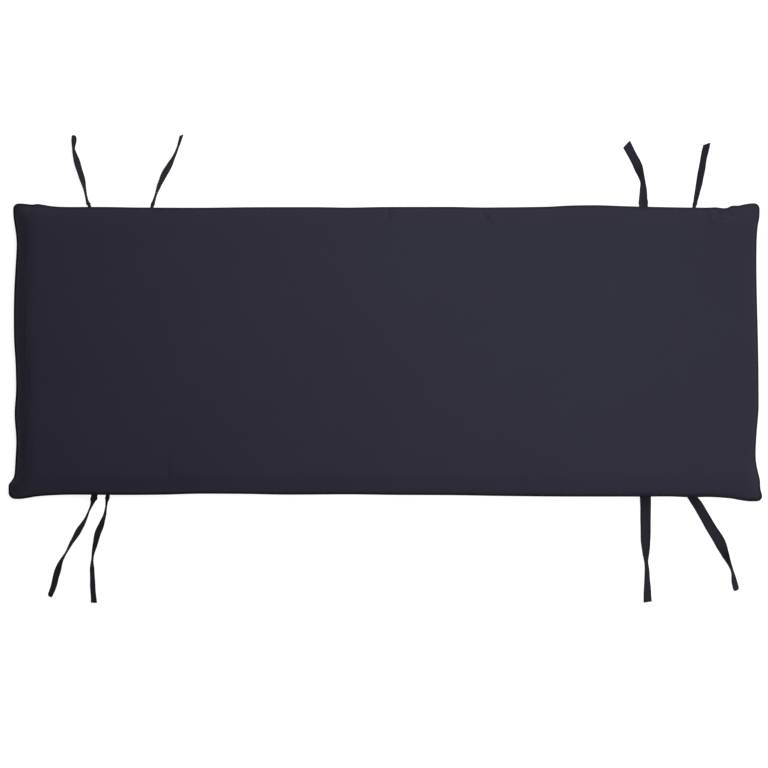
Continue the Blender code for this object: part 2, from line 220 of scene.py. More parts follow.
# The softboxes: where each stands, where it points, the length of its side and its power in watts
SOFTBOXES = (
    ("overhead", (0.08, 0.32, 1.16), (0.08, 0.32, 0), 0.8, 13.3),
    ("right", (0.79, -0.38, 1.08), (0.79, -0.38, 0), 0.8, 6.7),
    ("back_right", (1.66, 1.76, 0.80), (0, 0, 0), 0.8, 21.5),
    ("front", (1.40, -2.05, 0.70), (0, 0, 0), 0.8, 8.0),
)

# Slow waves over the cushion: radians for each metre along it, their start, and the same across it
SEAM_WAVE = (17, 0.6, 13, -0.8)
GATHER_WAVE = (31, 1.3, 27, 0.4)

# The seam's outline, in millimetres: a place along a side, and how far out the seam stands there
BACK_SIDE = (
    (-588, 8.3), (-570, 8.3), (-558, 7.4), (-549, 6.4), (-540, 8.1), (-525, 4.4), (-500, 2.6),
    (-440, 2.8), (-390, 2), (-290, 1.6), (-210, 2.4), (-110, 2.5), (-60, 1.8), (0, 2.8), (100, 2.9),
    (147, 2), (185, 2.2), (245, 3), (267, 3.9), (285, 5.1), (325, 5.6), (365, 4.2), (396, 3.3),
    (435, 2.5), (495, 1.7), (511, 2.2), (524, 0.7), (529, 1), (536.5, 5), (546.5, 4.6), (554, 6.5),
    (570, 8.6), (588, 8.4),
)
FRONT_SIDE = (
    (-588, 4.2), (-565, 4.2), (-549, 2.1), (-538, 0.1), (-515, -1.7), (-485, -2.6), (-400, -2.1),
    (-345, -2.5), (-285, -4.1), (-220, -3.8), (-150, -2.6), (-60, -3.1), (20, -2.1), (100, -1.8),
    (170, -0.7), (290, 0.4), (400, 0.5), (440, 0.2), (470, 1.7), (495, 1), (530, 3.1), (549, 6.5),
    (562, 7.9), (588, 7.9),
)
LEFT_SIDE = (
    (-232, 3.5), (-224, 7.2), (-214, 8.5), (-204, 8.5), (-196, 3.3), (-190, -0.7), (-160, -2.8),
    (-137, -4.1), (-124, -3.6), (-103, -1.1), (-92, -1.1), (-60, -3.7), (-20, -2.8), (20, -0.2),
    (50, 0.1), (85, -0.4), (125, -2.5), (166, -4.7), (188, -1.7), (206, 0.9), (232, 1.9),
)
RIGHT_SIDE = (
    (-232, 7.6), (-219, 8.3), (-204, 5), (-192, 4.3), (-176, -0.1), (-160, -2.9), (-140, -2.2),
    (-112, -0.3), (-85, 2.3), (-20, 2), (20, 1.3), (60, 0.3), (100, -0.7), (130, -1.1), (166, -0.9),
    (188, 0.7), (206, 3.8), (232, 4.4),
)

# A tape's route seen from above, in millimetres and degrees: x, y, its width, and how far it is
# rolled over, where 0 lies flat and 90 stands on its edge. The first two rows are the sewn-in end.
TIES = {
    "tie_back_left_outer": (
        (-461.3, 225.3, 5, 0), (-462.8, 229.3, 5, 0), (-465.3, 235.3, 11, -77),
        (-468.1, 245, 15, -87), (-471, 257, 16, -81), (-477, 277, 16, -63), (-483.1, 297, 16, -61),
        (-487.3, 313, 16, -75), (-488.6, 320.5, 16, -85), (-488.2, 331, 16, -72),
        (-487.4, 340.4, 15, -66),
    ),
    "tie_back_left_inner": (
        (-365.4, 223.9, 5, 0), (-364.6, 228.1, 5, 0), (-362.4, 235.3, 10, -79),
        (-359.4, 246, 16, -88), (-354.5, 263, 16, -76), (-347.1, 279, 16, -63),
        (-338.3, 294, 16, -67), (-330.1, 309, 16, -86), (-325.5, 321, 16, -89),
        (-321.9, 331, 16, -84), (-319.3, 340.6, 16, -84),
    ),
    "tie_back_right_inner": (
        (402.9, 225.5, 13.5, 0), (402.8, 229.7, 14, 0), (402.6, 239, 16, 40), (403.4, 254, 16, 54),
        (403, 268, 16, 70), (400.2, 279, 16, 58), (396.2, 291, 16, 37), (386.5, 310, 16, 40),
        (377.8, 327, 16, 34),
    ),
    "tie_back_right_outer": (
        (481.4, 224, 5.5, 0), (482.3, 228.1, 5.5, 0), (484.2, 235.5, 11, 69), (487.6, 249, 16, 69),
        (491.8, 268, 16, 59), (495.2, 287, 16, 58), (498.2, 304, 16, 60), (501.3, 318, 16, 57),
        (503.6, 327, 16, 60),
    ),
    "tie_front_left_outer": (
        (-454.3, -220, 10, 0), (-454.8, -224.1, 10, 0), (-456.9, -233, 14, 71),
        (-464.3, -248.5, 7.5, 96), (-467.7, -256, 9, 107), (-473.4, -268, 16, 119),
        (-481.5, -280.5, 16, 127), (-491.6, -297, 16, 115), (-500.7, -313, 16, 104),
        (-507.9, -326, 16, 115), (-514.8, -344, 16, 136), (-519.5, -364, 16, 131),
        (-525.9, -382.6, 16, 127),
    ),
    "tie_front_left_inner": (
        (-433.6, -219.8, 6.5, 0), (-433.9, -223.9, 6.5, 0), (-435.6, -232, 11, -66),
        (-437.1, -242, 15, -75), (-439.2, -253, 16, -69), (-445, -268.4, 16, -53),
        (-451.4, -285, 16, -46), (-455.1, -302, 16, -58), (-459.1, -323, 16, -72),
        (-459.5, -341, 16, -56), (-459.1, -366, 16, -52), (-457.3, -392, 16, -48),
    ),
    "tie_front_right_inner": (
        (405.8, -222.5, 17.5, 0), (406, -226.8, 17.5, 0), (407.1, -246, 17, 2),
        (408.2, -275, 17, 10), (407.9, -297, 17, 20), (407.9, -313, 17, 43), (408.8, -330, 17, 62),
        (410.1, -345, 17, 57), (410.6, -366, 17, 45), (411.2, -390.9, 17, 33),
    ),
    "tie_front_right_outer": (
        (477.6, -223.2, 14, 0), (480.2, -227.2, 14, 0), (489.5, -240, 16.6, 16),
        (501.1, -258.5, 16.8, 14), (512.8, -277.8, 17, 8), (524.8, -297, 17.8, 4),
        (532.4, -315, 17, 36), (539.4, -330.5, 16.5, 61), (543.2, -341.5, 16.5, 68),
        (547.2, -361, 16.5, 48), (549.9, -372.8, 16.5, 46),
    ),
}
ROUND_ENDED = ("tie_back_left_outer", "tie_front_left_outer", "tie_front_right_outer")

# How much longer a tape's right edge is at its free end, as a share of the tape's width
END_CUT = {"tie_back_left_inner": 0.3, "tie_back_right_inner": 0.28, "tie_back_right_outer": 0.3}

# Painted shade at a tape's folds: the place and the reach in millimetres, and how much darker it
# is painted there, or paler where the value is negative
FOLD_PAINTED_SHADES = {
    "tie_back_left_outer": ((28, 20, 0.25), (102, 15, 0.20)),
    "tie_back_left_inner": ((75, 20, -0.22), (115, 14, 0.35)),
    "tie_back_right_inner": ((24, 26, -0.42), (58, 7, 0.45), (88, 28, -0.24)),
    "tie_back_right_outer": ((20, 20, -0.22),),
    "tie_front_left_outer": ((20, 20, 0.35), (70, 15, -0.45), (116, 15, 0.30), (142, 18, -0.22)),
    "tie_front_left_inner": ((8, 16, 0.50), (62, 18, -0.35), (146, 24, -0.35)),
    "tie_front_right_inner": ((98, 20, 0.26), (150, 28, 0.12)),
    "tie_front_right_outer": ((117, 17, 0.95),),
}

# Creases in the upper panel, in millimetres and degrees: the middle, the run and its direction, how
# wide and how deep, and how much painted shade darkens the cloth there. A crease fades out towards
# both ends. One of negative depth stands up and is painted paler.
CREASES = (
    (5, 214, 38, 90, 6, 2.2, 0.10), (-4, 214, 30, 90, 6, -0.5, -0.02),
    (158, 208, 36, 122, 6, 2, 0.14), (-336, -186, 64, 92, 11, 1.6, 0.06),
    (-322, -196, 44, 112, 9, 0.8, 0.03), (212, -198, 40, 104, 10, 1.2, 0.05),
    (224, -192, 46, 92, 9, -0.8, -0.02), (240, -192, 34, 108, 9, 0.9, 0.03),
    (196, -209, 40, 174, 4.4, 0.8, 0.06), (500, 219, 13, -6, 2.4, 0.5, 0.30),
    (508, 218.5, 12, -4, 2.4, -0.4, -0.27), (505, 216, 13, -12, 2.4, 0.5, 0.24),
    (501, 211.5, 17, -8, 2.4, 0.6, 0.27), (499, 207, 14, 4, 2.8, 0.6, 0.16),
    (508, 208, 12, 2, 2.4, -0.4, -0.27), (505, 201, 18, 0, 2.4, 0.5, 0.22),
    (521, 219.5, 18, -3, 2.4, 0.5, 0.32), (519, 216, 13, -4, 2.4, 0.6, 0.35),
    (529, 215.8, 16, -8, 2.2, -0.4, -0.24), (527, 213.3, 17, -8, 2.4, 0.5, 0.27),
    (526, 210.5, 16, -4, 2.4, -0.5, -0.30), (520, 206.5, 26, 0, 2.4, 0.6, 0.25),
    (522, 203.5, 18, 0, 2.4, -0.4, -0.22), (533, 218.5, 18, -2, 2.2, 0.5, 0.18),
    (532, 221.5, 18, 4, 2.2, -0.4, -0.22), (536, 214.5, 14, -6, 2.2, 0.5, 0.12),
    (541, 211.5, 20, -4, 2.4, 0.6, 0.20), (538, 208.8, 20, -3, 2.4, -0.5, -0.30),
    (533, 202.5, 16, 0, 2.4, -0.4, -0.24), (-557, 158, 66, 90, 2.8, 0.3, 0.20),
    (-553, 138, 56, 91, 2.8, -0.3, -0.16), (-549, 118, 80, 89, 2.8, 0.3, 0.14),
    (-558, 22, 200, 90, 2.6, 0.4, 0.22), (-554, 34, 150, 90, 2.8, -0.3, -0.16),
    (-551, -40, 90, 93, 2.8, 0.4, 0.22), (-562, -52, 100, 89, 2.8, 0.3, 0.18),
    (-556, -110, 90, 88, 2.8, 0.3, 0.20), (-561, -148, 74, 92, 2.6, 0.3, 0.22),
    (-551, -146, 84, 90, 2.8, -0.3, -0.16), (-546, -162, 60, 94, 2.8, 0.3, 0.20),
    (-566, -118, 70, 90, 2.6, -0.3, -0.16),
)


def smooth(places, values, steady=True):
    """The smooth curve through values at places, level beyond both ends.

    A steady one never overshoots.
    """
    steps = [b - a for a, b in zip(places, places[1:])]
    rises = [(b - a) / d for a, b, d in zip(values, values[1:], steps)]
    slope = [rises[0]]
    for i in range(1, len(rises)):
        before, after = rises[i - 1], rises[i]
        if not steady:
            slope.append((before * steps[i] + after * steps[i - 1]) / (steps[i - 1] + steps[i]))
        elif before * after <= 0:
            slope.append(0)
        else:
            slope.append(2 * before * after / (before + after))
    slope.append(rises[-1])

    def at(place):
        place = min(max(place, places[0]), places[-1])
        i = 0
        while i < len(places) - 2 and place > places[i + 1]:
            i += 1
        step = places[i + 1] - places[i]
        t = (place - places[i]) / step
        first = (1 + 2 * t) * (1 - t) ** 2 * values[i] + t * (1 - t) ** 2 * step * slope[i]
        last = t * t * (3 - 2 * t) * values[i + 1] - t * t * (1 - t) * step * slope[i + 1]
        return first + last

    return at


def eased_in(value, start, end):
    """0 before start, 1 past end, and smooth between."""
    t = min(max((value - start) / (end - start), 0), 1)
    return t * t * (3 - 2 * t)


def fading(distance, reach):
    """1 at no distance, and smoothly towards 0 over a few times the reach."""
    return math.exp(-((distance / reach) ** 2))


def wavy(x, y, along, start_along, across, start_across):
    """A slow wave's height at a place, from -1 to 1."""
    return math.sin(x * along + start_along) * math.cos(y * across + start_across)


# ---- Camera


def make_camera():
    """A camera that looks straight down from about three metres."""
    data = bpy.data.cameras.new("camera_above")
    data.sensor_width = SENSOR
    data.lens = SENSOR * (CAMERA_ABOVE.z - SEEN_HEIGHT) / (PICTURE_PIXELS * PIXEL)
    data.dof.use_dof = False
    camera = bpy.data.objects.new("camera_above", data)
    camera.location = CAMERA_ABOVE
    bpy.context.scene.collection.objects.link(camera)
    bpy.context.scene.camera = camera


# ---- Materials


class Nodes:
    """Short calls for building a tree of nodes."""

    def __init__(self, tree):
        self.tree = tree

    def put(self, socket, value):
        """Sets a socket to a value, or links another socket to it."""
        if isinstance(value, bpy.types.NodeSocket):
            self.tree.links.new(value, socket)
        else:
            socket.default_value = value

    def fill(self, node, values):
        """Puts each value to the node's socket of that name."""
        for name, value in values.items():
            self.put(node.inputs[name], value)
        return node

    def add(self, kind, values={}, **settings):
        """A new node, with values for its sockets and settings of its own."""
        node = self.tree.nodes.new(kind)
        for name, value in settings.items():
            setattr(node, name, value)
        return self.fill(node, values)

    def surface(self, values):
        self.fill(self.tree.nodes["Principled BSDF"], values)

    def math(self, operation, *values):
        node = self.add("ShaderNodeMath", operation=operation)
        for socket, value in zip(node.inputs, values):
            self.put(socket, value)
        return node.outputs[0]

    def times(self, first, *others):
        for other in others:
            first = self.math("MULTIPLY", first, other)
        return first

    def scaled(self, vector, scale):
        node = self.add("ShaderNodeVectorMath", operation="SCALE")
        self.put(node.inputs[0], vector)
        self.put(node.inputs["Scale"], scale)
        return node.outputs[0]

    def noise(self, where, scale, detail):
        values = {"Vector": where, "Scale": scale, "Detail": detail, "Roughness": 0.5}
        return self.add("ShaderNodeTexNoise", values).outputs["Fac"]

    def drawn_out_noise(self, where, scales, detail):
        """Noise with a scale for each direction."""
        mapping = self.add("ShaderNodeMapping", {"Vector": where, "Scale": scales})
        return self.noise(mapping.outputs["Vector"], 1.0, detail)

    def spread(self, value, low, high):
        """Takes 0 to 1 to the range from low to high."""
        values = {"Value": value, "To Min": low, "To Max": high}
        return self.add("ShaderNodeMapRange", values).outputs["Result"]

    def bump(self, height, distance, strength=1.0):
        values = {"Height": height, "Distance": distance, "Strength": strength}
        return self.add("ShaderNodeBump", values).outputs["Normal"]


def new_material(name, colour):
    """A new material and its nodes."""
    material = bpy.data.materials.new(name)
    material.use_nodes = True
    material.diffuse_color = (*colour, 1)
    return material, Nodes(material.node_tree)


def weave_height(nodes, where):
    """Plain weave: threads one way pass over and under the threads the other way."""
    parts = nodes.add("ShaderNodeSeparateXYZ")
    nodes.put(parts.inputs[0], nodes.scaled(where, 1 / WEAVE_PITCH))
    across, along = parts.outputs["X"], parts.outputs["Y"]
    heights = []
    for round_way, over_way, side in ((across, along, -1), (along, across, 1)):
        body = nodes.math("ABSOLUTE", nodes.math("SINE", nodes.times(round_way, math.pi)))
        row = nodes.times(nodes.math("FLOOR", round_way), math.pi)
        wave = nodes.math("ADD", nodes.times(over_way, math.pi), row)
        lift = nodes.math("SINE", nodes.math("ADD", wave, side * math.pi / 2))
        lift = nodes.spread(nodes.math("MULTIPLY_ADD", lift, 0.5, 0.5), THREAD_UNDER, 1.0)
        heights.append(nodes.times(nodes.math("POWER", body, THREAD_SLIMNESS), lift))
    return nodes.math("MAXIMUM", *heights)


def cloth_material(name, colour, streaks=0):
    """Matt woven cloth with uneven threads, soft random shade changes and the painted light and
    shade stored on its mesh.
    """
    material, nodes = new_material(name, colour)
    flat = nodes.add("ShaderNodeUVMap", uv_map=CLOTH_MAP).outputs["UV"]
    place = nodes.add("ShaderNodeTexCoord").outputs["Object"]
    weave = weave_height(nodes, flat)
    slub = nodes.math("ADD", *(nodes.drawn_out_noise(flat, scales, 1.0) for scales in SLUB_SCALES))
    mottle = nodes.noise(place, MOTTLE_SCALE, 3.0)
    fuzz = nodes.noise(place, FUZZ_SCALE, 2.0)
    shade = nodes.times(
        nodes.spread(weave, *WEAVE_SHADES),
        nodes.spread(nodes.times(slub, 0.5), *SLUB_SHADES),
        nodes.spread(mottle, *MOTTLE_SHADES),
        nodes.spread(fuzz, *FUZZ_SHADES),
        # the painted light and shade stored on the mesh
        nodes.add("ShaderNodeAttribute", attribute_name=PAINTED_SHADE_NAME).outputs["Fac"],
    )
    if streaks:
        streak = nodes.drawn_out_noise(flat, STREAK_SCALES, 2.0)
        shade = nodes.times(shade, nodes.spread(streak, 1 - 2 * streaks, 1 + 2 * streaks))
    rough = nodes.spread(weave, *WEAVE_ROUGHNESS)
    height = nodes.math("ADD", weave, nodes.times(slub, SLUB_BUMP))
    nodes.surface({
        "Base Color": nodes.scaled(colour, shade),
        "Roughness": nodes.math("ADD", rough, nodes.spread(fuzz, *FUZZ_ROUGHNESS)),
        "Specular IOR Level": CLOTH_SPECULAR,
        "Sheen Weight": SHEEN_WEIGHT,
        "Sheen Roughness": SHEEN_ROUGHNESS,
        "Sheen Tint": SHEEN_TINT,
        "Normal": nodes.bump(height, WEAVE_DEPTH, WEAVE_BUMP),
    })
    return material


def thread_material():
    """Spun thread, a little darker than the cloth it holds."""
    material, nodes = new_material("sewing_thread", THREAD_COLOUR)
    place = nodes.add("ShaderNodeTexCoord").outputs["Object"]
    fibre = nodes.noise(place, FIBRE_SCALE, 2.0)
    nodes.surface({
        "Base Color": nodes.scaled(THREAD_COLOUR, nodes.spread(fibre, *THREAD_SHADES)),
        "Roughness": nodes.spread(fibre, *THREAD_ROUGHNESS),
        "Normal": nodes.bump(fibre, FIBRE_DEPTH),
    })
    return material


def floor_material():
    """A white studio floor that is lit from inside as a light table is."""
    material, nodes = new_material("studio_floor", FLOOR_COLOUR)
    nodes.surface({
        "Base Color": (*FLOOR_COLOUR, 1),
        "Roughness": FLOOR_ROUGHNESS,
        "Specular IOR Level": FLOOR_SPECULAR,
        "Emission Color": WHITE,
        "Emission Strength": FLOOR_GLOW,
    })
    return material


# ---- Stitches


def stitch_tree():
    """Geometry nodes that lay stitches end to end along a line of edges."""
    tree = bpy.data.node_groups.new("row_of_stitches", "GeometryNodeTree")
    new_socket = tree.interface.new_socket
    new_socket("Geometry", in_out="INPUT", socket_type="NodeSocketGeometry")
    for name in ("Pitch", "Stitch length", "Thread width"):
        new_socket(name, in_out="INPUT", socket_type="NodeSocketFloat")
    new_socket("Thread", in_out="INPUT", socket_type="NodeSocketMaterial")
    new_socket("Geometry", in_out="OUTPUT", socket_type="NodeSocketGeometry")
    nodes = Nodes(tree)
    given = nodes.add("NodeGroupInput").outputs
    line = nodes.add("GeometryNodeMeshToCurve", {"Mesh": given["Geometry"]})
    spacing = {"Curve": line.outputs["Curve"], "Length": given["Pitch"]}
    spaced = nodes.add("GeometryNodeResampleCurve", spacing, mode="LENGTH")
    shape = {"Segments": STITCH_SIDES, "Rings": STITCH_RINGS, "Radius": 0.5}
    ball = nodes.add("GeometryNodeMeshUVSphere", shape)
    sizes = {"X": given["Thread width"], "Y": given["Thread width"], "Z": given["Stitch length"]}
    size = nodes.add("ShaderNodeCombineXYZ", sizes).outputs["Vector"]
    form = {"Geometry": ball.outputs["Mesh"], "Scale": size}
    stitch = nodes.add("GeometryNodeTransform", form)
    tangent = nodes.add("GeometryNodeInputTangent").outputs["Tangent"]
    turned = nodes.add("FunctionNodeAlignRotationToVector", {"Vector": tangent}, axis="Z")
    change = {"Min": STITCH_SIZES[0], "Max": STITCH_SIZES[1], "Seed": STITCH_SEED}
    uneven = nodes.add("FunctionNodeRandomValue", change, data_type="FLOAT")
    placed = nodes.add("GeometryNodeInstanceOnPoints", {
        "Points": spaced.outputs["Curve"],
        "Instance": stitch.outputs["Geometry"],
        "Rotation": turned.outputs["Rotation"],
        "Scale": uneven.outputs["Value"],
    })
    real = nodes.add("GeometryNodeRealizeInstances", {"Geometry": placed.outputs["Instances"]})
    colouring = {"Geometry": real.outputs["Geometry"], "Material": given["Thread"]}
    coloured = nodes.add("GeometryNodeSetMaterial", colouring)
    nodes.add("NodeGroupOutput", {"Geometry": coloured.outputs["Geometry"]})
    return tree


def sew(name, lines, tree, thread):
    """A mesh of stitches along each line of points. A line that ends where it starts is a ring."""
    corners, edges = [], []
    for line in lines:
        closed = (line[0] - line[-1]).length < THREAD_WIDTH
        first = len(corners)
        corners += line[:-1] if closed else line
        edges += [(i, i + 1) for i in range(first, len(corners) - 1)]
        if closed:
            edges.append((len(corners) - 1, first))
    guide = linked(name, corners, edges, [])
    rows = guide.modifiers.new("rows", "NODES")
    rows.node_group = tree
    given = {"Pitch": STITCH_PITCH, "Stitch length": STITCH_LENGTH}
    given |= {"Thread width": THREAD_WIDTH, "Thread": thread}
    for socket in tree.interface.items_tree:
        if socket.name in given:
            rows[socket.identifier] = given[socket.name]
    return baked(guide)


def linked(name, corners, edges, faces):
    """A new mesh object in the scene."""
    data = bpy.data.meshes.new(name)
    data.from_pydata(corners, edges, faces)
    thing = bpy.data.objects.new(name, data)
    bpy.context.scene.collection.objects.link(thing)
    return thing


def baked(thing):
    """Turns what a piece's modifiers make into its own mesh."""
    graph = bpy.context.evaluated_depsgraph_get()
    data = bpy.data.meshes.new_from_object(thing.evaluated_get(graph), depsgraph=graph)
    data.name = thing.name
    thing.modifiers.clear()
    thing.data = data
    data.shade_smooth()
    return thing


def new_piece(name, corners, faces, material, cloth_map=None):
    """A mesh piece. cloth_map gives each face's corners their place on the flat cloth."""
    piece = linked(name, corners, [], faces)
    piece.data.materials.append(material)
    if cloth_map:
        numbers = [number for face in cloth_map for pair in face for number in pair]
        piece.data.uv_layers.new(name=CLOTH_MAP).data.foreach_set("uv", numbers)
    piece.data.shade_smooth()
    return piece


def store_painted_shade(piece, values):
    """Stores painted light and shade for each of a piece's points, for its cloth's material."""
    piece.data.attributes.new(PAINTED_SHADE_NAME, "FLOAT", "POINT").data.foreach_set("value", values)


# ---- The seam's height and outline


def side_curve(rows):
    """How far a side's seam stands out, in metres, at a place along it in metres."""
    return smooth(*([number * MM for number in column] for column in zip(*rows)))


BACK_OUT = side_curve(BACK_SIDE)
FRONT_OUT = side_curve(FRONT_SIDE)
LEFT_OUT = side_curve(LEFT_SIDE)
RIGHT_OUT = side_curve(RIGHT_SIDE)
RIDGE_PROFILE = smooth(
    [0, RIDGE_ROUND, RIDGE_BACK, RIDGE_REACH], [RIDGE_TIP, RIDGE_HALF, RIDGE_HALF, RIDGE_NECK]
)


def seam_height(x, y):
    """The height of the ridge's middle, at a place near it."""
    along = max(0, 1 - (LENGTH / 2 - abs(x)) / EAR_REACH)
    across = max(0, 1 - (WIDTH / 2 - abs(y)) / EAR_REACH)
    droop = EAR_DROOP * min(along, 1) * min(across, 1)
    return SEAM_HEIGHT + SEAM_WANDER * wavy(x, y, *SEAM_WAVE) - droop


def swell(inset, reach):
    """0 up to the groove behind the ridge, then steeply up and round to 1."""
    t = min(max((inset - RIDGE_REACH) / reach, 0), 1)
    return math.sqrt(1 - (1 - t) ** 2)


def rounded(inset_x, inset_y):
    """The two insets moved so that the corner of the outline is an arc."""
    a = max(0, 1 - inset_x / CORNER_RADIUS)
    b = max(0, 1 - inset_y / CORNER_RADIUS)
    if a == 0 or b == 0:
        return inset_x, inset_y
    return (
        CORNER_RADIUS * (1 - a * math.sqrt(1 - b * b / 2)),
        CORNER_RADIUS * (1 - b * math.sqrt(1 - a * a / 2)),
    )


def evenly(start, end, spacing):
    """Places between start and end, without them, about this far apart."""
    count = max(1, round((end - start) / spacing))
    return [start + (end - start) * i / count for i in range(1, count)]


def grid_lines(size, stretches=()):
    """The places of the grid's lines along one direction, as distances from one edge.

    stretches holds the start, the end and the spacing of each run of closer lines, in order.
    """
    edge = [line * MM for line in EDGE_LINES]
    lines = list(edge)
    for start, end, spacing in stretches:
        lines += evenly(lines[-1], start, GRID_SPACING) + [start]
        lines += evenly(start, end, spacing) + [end]
    lines += evenly(lines[-1], size - edge[-1], GRID_SPACING)
    return lines + [size - line for line in reversed(edge)]


def creased_stretches():
    """Where the creases lie, as distances from the left side, and how close the lines stand there.

    A crease close to the left side needs none, because the edge lines are close enough.
    """
    stretches = []
    for x, _, run, angle, *_ in sorted(CREASES):
        lean = abs(math.cos(math.radians(angle)))
        reach = run * MM / 2 * lean + CREASE_MARGIN * (1 - lean)
        start, end = (LENGTH / 2 + x * MM + side * reach for side in (-1, 1))
        end = min(end, LENGTH - EDGE_LINES[-1] * MM)
        if start < EDGE_LINES[-1] * MM:
            continue
        spacing = FLAT_CREASE_SPACING if lean > FLAT_CREASE else CREASE_SPACING
        if stretches and start < stretches[-1][1] + GRID_SPACING / 2:
            stretches[-1][1] = max(end, stretches[-1][1])
        else:
            stretches.append([start, end, spacing])
    return stretches


# ---- Tapes


def pleated(wide):
    """A tape's thickness where it is gathered to this width."""
    return TAPE_THICKNESS * (TAPE_WIDTH / wide) ** PLEAT_POWER


class Tape:
    """The shape of one tape. phase sets its curl and ripple apart from the other tapes'."""

    def __init__(self, rows, round_ended, end_cut, fold_painted_shades, phase):
        x, y, wide, roll = zip(*rows)
        flat = [Vector(point) * MM for point in zip(x, y)]
        places = [0]
        for a, b in zip(flat, flat[1:]):
            places.append(places[-1] + (b - a).length)
        self.length = places[-1]
        self.end_cut = end_cut
        self.fold_painted_shades = fold_painted_shades
        self.phase = phase
        self.narrowing = ROUND_END if round_ended else 0
        self.run = self.length - self.narrowing
        self.x = smooth(places, [point.x for point in flat], steady=False)
        self.y = smooth(places, [point.y for point in flat], steady=False)
        self.wide = smooth(places, [number * MM for number in wide])
        self.roll = smooth(places, [math.radians(number) for number in roll])
        under_ridge = seam_height(flat[0].x, flat[0].y) - RIDGE_HALF - SEWN_GAP
        self.root_height = under_ridge - pleated(self.wide(0)) / 2

    def lying(self, place):
        """The height of the centre line where the tape lies on the floor."""
        wide, roll = self.wide(place), self.roll(place)
        edge = wide / 2 * abs(math.sin(roll)) + pleated(wide) / 2 * abs(math.cos(roll))
        return edge + FLOOR_GAP

    def centre(self, place):
        """The point of the centre line at a place."""
        landed = eased_in(place, 0, TAPE_DROP)
        height = self.root_height * (1 - landed) + self.lying(place) * landed
        return Vector((self.x(place), self.y(place), height))

    def directions(self, place):
        """Along the tape, across its width and through its thickness."""
        before, after = max(0, place - DIRECTION_STEP), min(self.length, place + DIRECTION_STEP)
        along = (self.centre(after) - self.centre(before)).normalized()
        level = along.cross(Vector((0, 0, 1))).normalized()
        up = level.cross(along)
        roll = self.roll(place)
        across = level * math.cos(roll) + up * math.sin(roll)
        return along, across, along.cross(across)

    def half_thickness(self, place, share):
        """From the middle of the cloth to its face, dented by the stitching, thicker at the hem."""
        thick = pleated(self.wide(place))
        if not self.narrowing:
            hem = eased_in(place, self.run - END_HEM, self.run - END_HEM + HEM_STEP)
            thick *= 1 + (HEM_SWELL - 1) * hem
        half = thick / 2 * math.sqrt(max(0, 1 - abs(share) ** EDGE_POWER))
        return max(half - STITCH_DENT * fading(abs(share) - STITCH_ROW, DENT_REACH), 0)

    def surface(self, place, share, face):
        """A point of the tape. face is 1 for its upper face and -1 for its lower one."""
        along, across, through = self.directions(place)
        wide = self.wide(place)
        if self.narrowing and place > self.run:
            past = (place - self.run) / self.narrowing
            wide *= math.sqrt(1 - ROUND_END_TAPER * past ** 2)
        cut = -across.y / along.y * max(0, 1 - place / TAPE_WIDTH)
        cut += self.end_cut * max(0, 1 - (self.length - place) / TAPE_WIDTH)
        side = share * wide / 2
        loose = eased_in(place, *LOOSE)
        curl = math.cos(place * CURL_TURNS + self.phase) * (share * share - CURL_LEVEL)
        ripple = math.sin(place * RIPPLE_TURNS + 2 * self.phase + RIPPLE_LEAN * share)
        rise = face * self.half_thickness(min(place, self.run), share)
        rise += loose * (TAPE_CURL * curl + TAPE_RIPPLE * ripple)
        point = self.centre(place) + across * side + through * rise + along * side * cut
        point.z = max(point.z, FLOOR_GAP / 2)
        return point


def tape_section():
    """Round one cross section: share and face of each point."""
    right = [(share, 1) for share in TAPE_ACROSS]
    left = [(-share, 1) for share in reversed(TAPE_ACROSS[:-1])]
    over = right + left
    return over + [(share, -1) for share, _ in reversed(over[1:-1])]


def painted_tape_shade(tape, place, share):
    """The painted shade of a tape's cloth.

    It is painted darker outside the stitching, where the tape comes out of the seam and where it
    stands up, and painted darker or paler at its folds.
    """
    border = eased_in(abs(share), *BORDER_START)
    root_painted_shade = FRONT_ROOT_PAINTED_SHADE if tape.y(0) < 0 else BACK_ROOT_PAINTED_SHADE
    root = root_painted_shade * (1 - eased_in(place, 0, ROOT_REACH))
    standing = STANDING_PAINTED_SHADE * math.sin(tape.roll(place)) ** STANDING_POWER
    shade = (1 - BORDER_PAINTED_SHADE * border) * (1 - root) * (1 - standing)
    # painted shade or painted light at the folds
    for middle, reach, dark in tape.fold_painted_shades:
        shade *= 1 - dark * (1 - FOLD_LEAN * (1 + share)) * fading(place / MM - middle, reach)
    return shade


def make_tape(name, tape, material):
    """A folded tape of cloth from its sewn end to its free end."""
    count = round(tape.run / TAPE_STEP)
    places = [tape.run * i / count for i in range(count + 1)]
    places += [tape.run + tape.narrowing * share for share in ROUND_END_SHARES if tape.narrowing]
    section = tape_section()
    corners, flat = [], []
    for place in places:
        for share, face in section:
            corners.append(tape.surface(place, share, face))
            turn = share if face > 0 else 2 * math.copysign(1, share) - share
            flat.append((turn * tape.wide(place) / 2, place))
    around = len(section)
    faces = []
    for first in range(0, len(corners) - around, around):
        for k in range(around):
            after = (k + 1) % around
            faces.append((first + k, first + after, first + around + after, first + around + k))
    for first, turned in ((0, False), (len(corners) - around, True)):
        for k in range(around // 2):
            opposite = (k, k + 1, around - k - 1, around - k)
            cap = list(dict.fromkeys(first + n % around for n in opposite))
            faces.append(cap if turned else cap[::-1])
    piece = new_piece(name, corners, faces, material, [[flat[c] for c in face] for face in faces])
    # the tape's painted shade
    store_painted_shade(piece, [painted_tape_shade(tape, place, share) for place in places for share, _ in section])
    return piece


